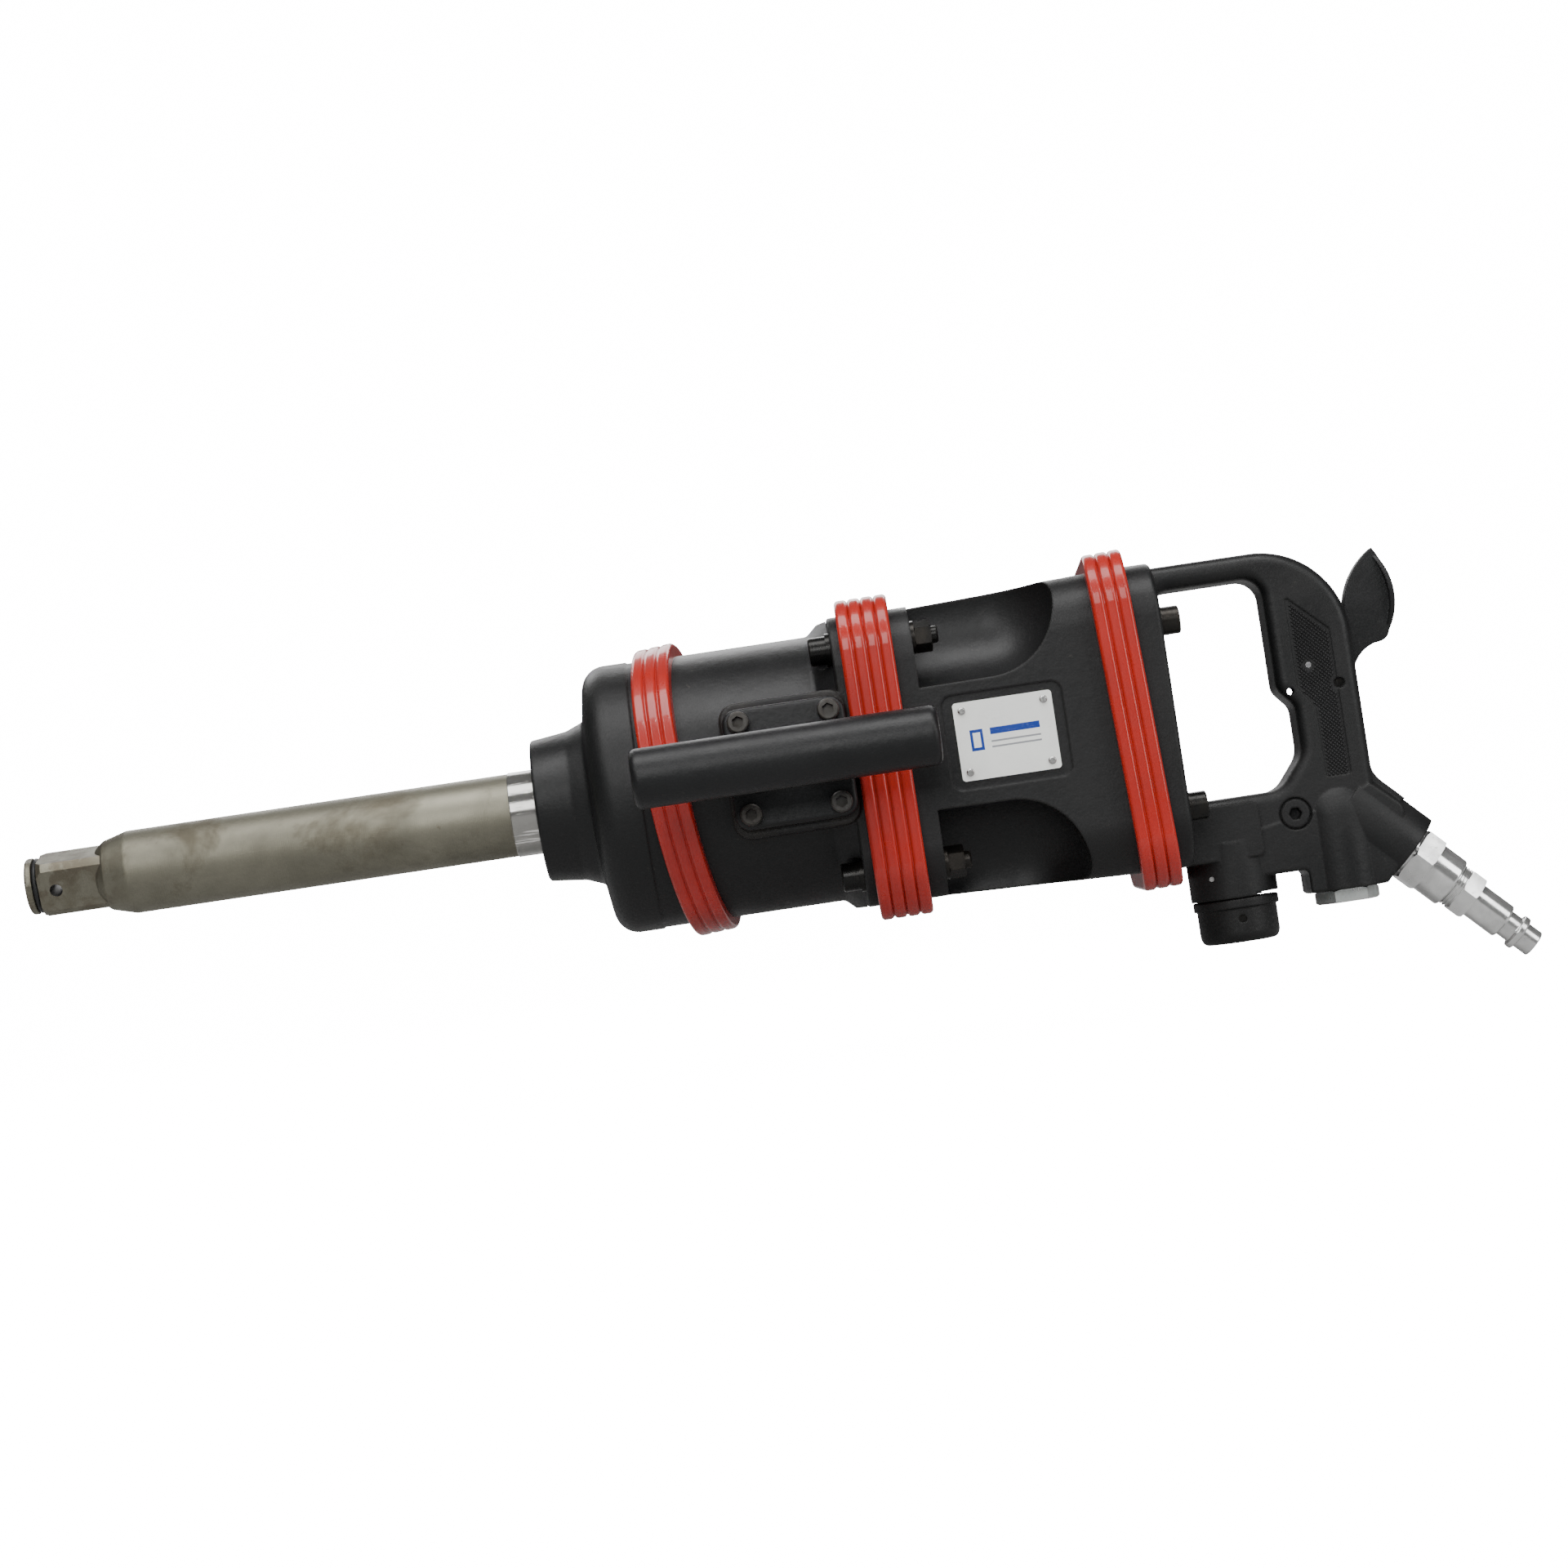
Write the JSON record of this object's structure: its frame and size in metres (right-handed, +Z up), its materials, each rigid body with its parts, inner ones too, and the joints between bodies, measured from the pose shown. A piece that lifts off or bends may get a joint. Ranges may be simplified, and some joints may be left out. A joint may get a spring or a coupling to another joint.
{
  "type": "air impact wrench",
  "caption": "Pneumatic impact wrench with a long square-drive anvil, D-handle with outside throttle lever, side handle, ribbed rubber bands and an angled air plug.",
  "frame": {"origin": "on the spindle axis, at the centre of the socket-retaining-pin hole in the drive square", "axes": "+X along the spindle from the drive square to the D-handle, +Z up through the top of the D-handle, -Y towards the side handle"},
  "size_m": [0.7003, 0.2036, 0.2131],
  "materials": {
    "anvil_steel": "ground steel with heat tint and stains",
    "black_rubber": "satin nitrile",
    "bronze": "machined bronze",
    "hard_steel": "hardened steel",
    "case_paint": "cast aluminium under satin black paint",
    "gasket_paper": "gasket fibre",
    "red_rubber": "glossy orange-red moulded rubber",
    "cylinder_iron": "honed iron",
    "vane_plastic": "phenolic laminate",
    "black_oxide": "oiled black oxide on steel",
    "grip_paint": "satin black powder coat on steel",
    "plate_enamel": "enamelled plate",
    "bright_rivet": "bright rivet",
    "knob_paint": "black anodised",
    "zinc_plate": "zinc-plated steel",
    "nickel_plate": "bright nickel plate on steel"
  },
  "bodies": {
    "housing": {"nose_oil_seal": "black_rubber", "anvil_bushing": "bronze", "hammer_case": "case_paint", "case_gasket": "gasket_paper", "motor_housing": "case_paint", "rear_gasket": "gasket_paper", "front_band": "red_rubber", "middle_band": "red_rubber", "rear_band": "red_rubber", "motor_cylinder": "cylinder_iron", "front_end_plate": "cylinder_iron", "rear_end_plate": "cylinder_iron", "front_rotor_bearing": "hard_steel", "rear_rotor_bearing": "hard_steel", "flange_bolts": "black_oxide", "flange_washers": "black_oxide", "flange_nuts": "black_oxide", "rear_screws": "black_oxide", "rear_spring_washers": "black_oxide", "side_handle_bracket": "grip_paint", "side_handle_grip": "grip_paint", "side_handle_screws": "black_oxide", "nameplate": "plate_enamel", "nameplate_rivets": "bright_rivet", "handle_casting": "case_paint", "oil_plug": "black_oxide", "handle_roll_pins": "hard_steel", "lever_pin": "hard_steel", "valve_seat": "black_rubber", "valve_cap": "zinc_plate", "cap_o_ring": "black_rubber", "inlet_adapter": "nickel_plate", "air_plug": "nickel_plate", "inlet_screen": "bronze"},
    "anvil_group": {"anvil": "anvil_steel", "socket_retaining_ring": "black_rubber"},
    "rotor_group": {"rotor": "hard_steel", "vanes": "vane_plastic", "hammer_cage": "hard_steel", "front_hammer": "hard_steel", "rear_hammer": "hard_steel", "hammer_pins": "hard_steel"},
    "lever": {"throttle_lever": "grip_paint"},
    "valve": {"throttle_stem": "bronze", "throttle_spring": "hard_steel"},
    "knob": {"reverse_spool": "hard_steel", "reverse_knob": "knob_paint", "knob_screw": "black_oxide", "knob_set_screw": "black_oxide"}
  },
  "joints": [
    {"name": "rotor_spin", "type": "hinge", "parent": "housing", "child": "rotor_group", "pos_m": [0.4, 0, 0], "axis": [1, 0, 0], "continuous": true},
    {"name": "anvil_spin", "type": "hinge", "parent": "housing", "child": "anvil_group", "pos_m": [0, 0, 0], "axis": [1, 0, 0], "continuous": true},
    {"name": "lever_squeeze", "type": "hinge", "parent": "housing", "child": "lever", "pos_m": [0.6074, 0, 0.0042], "axis": [0, -1, 0], "range_deg": [0, 10], "stiffness_Nm_per_rad": 4, "springref_deg": -5.73},
    {"name": "valve_push", "type": "slide", "parent": "housing", "child": "valve", "axis": [0, 0, -1], "range_m": [0, 0.0017], "deforming": ["throttle_spring"]},
    {"name": "reverse_turn", "type": "hinge", "parent": "housing", "child": "knob", "pos_m": [0.546, 0, -0.09], "axis": [0, 0, -1], "range_deg": [-45, 45]}
  ],
  "couplings": [
    {"joint": "anvil_spin", "follows": "rotor_spin", "ratio": 1},
    {"joint": "valve_push", "follows": "lever_squeeze", "m_per_rad": 0.009}
  ]
}
